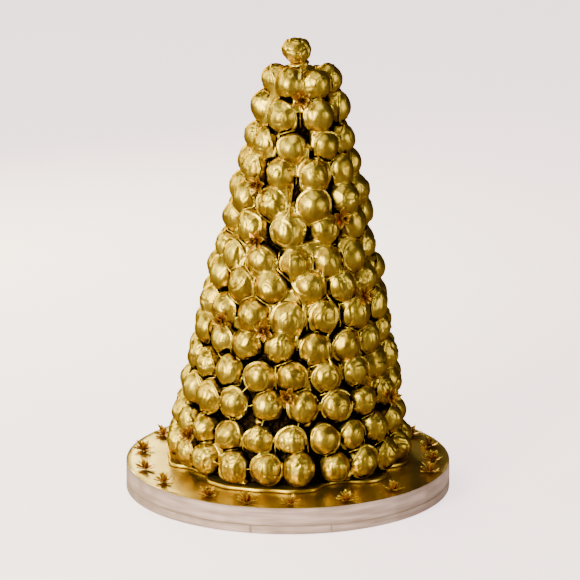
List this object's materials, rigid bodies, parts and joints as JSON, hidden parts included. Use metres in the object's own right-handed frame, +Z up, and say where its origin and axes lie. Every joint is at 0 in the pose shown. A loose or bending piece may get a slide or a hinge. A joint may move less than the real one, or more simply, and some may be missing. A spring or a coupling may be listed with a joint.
{
  "type": "profiterole tower",
  "caption": "Tall cone of gilded, glazed profiteroles on a round foil-covered cake drum with ribboned edge and small gilt flowers; stands on its flat underside.",
  "frame": {"origin": "centre of the cake drum's underside, where it rests", "axes": "+Z up, the front faces -Y, +X to the right as seen from the front"},
  "size_m": [0.356, 0.356, 0.5088],
  "materials": {
    "gilt_glaze": "metallic gold lustre on wrinkled, glazed pastry",
    "gold_foil": "finely embossed gold foil over board",
    "copper_gilt": "gilt petals with a copper blush at the centre",
    "white_satin": "plain white satin ribbon"
  },
  "bodies": {
    "root": {"profiterole_tower": "gilt_glaze", "top_profiterole": "gilt_glaze", "glaze_pool": "gilt_glaze", "drum": "gold_foil", "ribbon": "white_satin", "ribbon_lower": "white_satin", "drum_flower_01": "copper_gilt", "drum_flower_02": "copper_gilt", "drum_flower_03": "copper_gilt", "drum_flower_04": "copper_gilt", "drum_flower_05": "copper_gilt", "drum_flower_06": "copper_gilt", "drum_flower_07": "copper_gilt", "drum_flower_08": "copper_gilt", "drum_flower_09": "copper_gilt", "drum_flower_10": "copper_gilt", "drum_flower_11": "copper_gilt", "drum_flower_12": "copper_gilt", "drum_flower_13": "copper_gilt", "drum_flower_14": "copper_gilt", "drum_flower_15": "copper_gilt", "drum_flower_16": "copper_gilt", "drum_flower_17": "copper_gilt", "drum_flower_18": "copper_gilt", "tower_flower_01": "copper_gilt", "tower_flower_02": "copper_gilt", "tower_flower_03": "copper_gilt", "tower_flower_04": "copper_gilt", "tower_flower_05": "copper_gilt", "tower_flower_06": "copper_gilt", "tower_flower_07": "copper_gilt", "tower_flower_08": "copper_gilt", "tower_flower_09": "copper_gilt", "tower_flower_10": "copper_gilt", "tower_flower_11": "copper_gilt", "tower_flower_12": "copper_gilt", "tower_flower_13": "copper_gilt", "tower_flower_14": "copper_gilt", "tower_flower_15": "copper_gilt", "tower_flower_16": "copper_gilt", "tower_flower_17": "copper_gilt", "tower_flower_18": "copper_gilt"}
  },
  "joints": []
}
